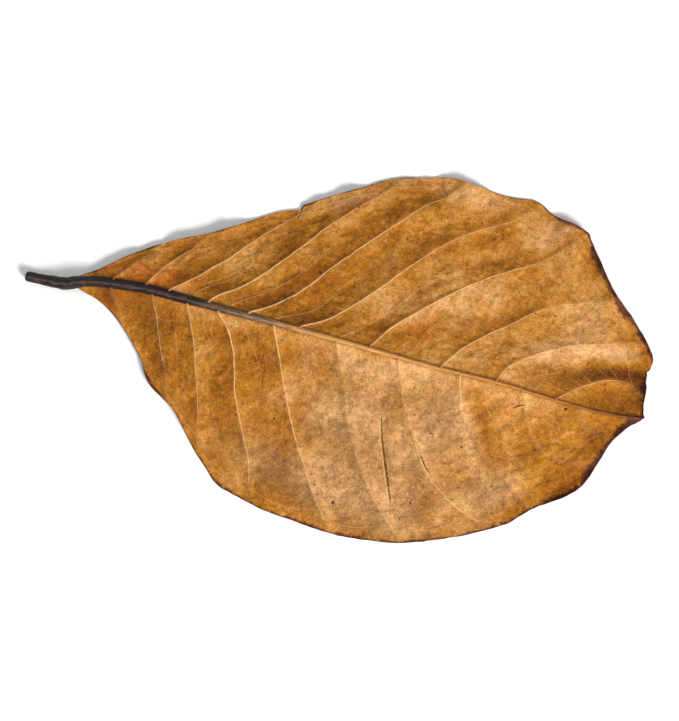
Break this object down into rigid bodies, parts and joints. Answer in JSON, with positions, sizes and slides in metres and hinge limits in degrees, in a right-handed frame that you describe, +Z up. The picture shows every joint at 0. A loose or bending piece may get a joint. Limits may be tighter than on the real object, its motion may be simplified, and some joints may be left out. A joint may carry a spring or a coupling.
{
  "type": "dried indian almond leaf",
  "caption": "Dried broad leaf with waved edge, raised midrib, side veins and short stalk, lying underside up; for display, aquarium or craft use.",
  "frame": {"origin": "middle of the leaf's length and width, on the surface that it rests on", "axes": "+X along the midrib from the stalk to the tip, +Z up, out of the underside of the blade, which is the face that shows"},
  "size_m": [0.2007, 0.1183, 0.0105],
  "materials": {
    "leaf": "matte"
  },
  "bodies": {
    "root": {"leaf": "leaf"}
  },
  "joints": []
}
